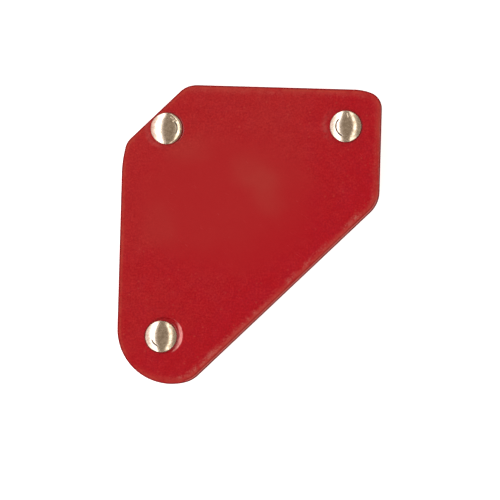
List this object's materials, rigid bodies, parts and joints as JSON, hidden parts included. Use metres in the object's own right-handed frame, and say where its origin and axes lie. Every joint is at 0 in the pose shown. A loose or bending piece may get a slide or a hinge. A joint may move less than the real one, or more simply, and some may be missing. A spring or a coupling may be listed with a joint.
{
  "type": "welding magnet holder",
  "caption": "Flat magnetic holder: red steel pole plates riveted over ferrite blocks, with straight edges that set workpieces square or at an angle for welding.",
  "frame": {"origin": "on the surface it lies on, under the middle of the plates' outline", "axes": "+X along the top edge towards the right-angled tip, +Y along the left edge towards the chamfer, +Z out of the front face, on the side of the domed rivet heads"},
  "size_m": [0.0654, 0.076, 0.0158],
  "materials": {
    "red_paint": "glossy red enamel, slightly mottled",
    "ferrite": "sintered ferrite, matt charcoal, ground faces",
    "zinc_tube": "dull zinc over drawn steel tube",
    "nickel_plate": "bright nickel plate"
  },
  "bodies": {
    "root": {"front_plate": "red_paint", "rear_plate": "red_paint", "upper_magnet": "ferrite", "lower_magnet": "ferrite", "chamfer_spacer": "zinc_tube", "tip_spacer": "zinc_tube", "nose_spacer": "zinc_tube", "chamfer_rivet": "nickel_plate", "tip_rivet": "nickel_plate", "nose_rivet": "nickel_plate"}
  },
  "joints": []
}
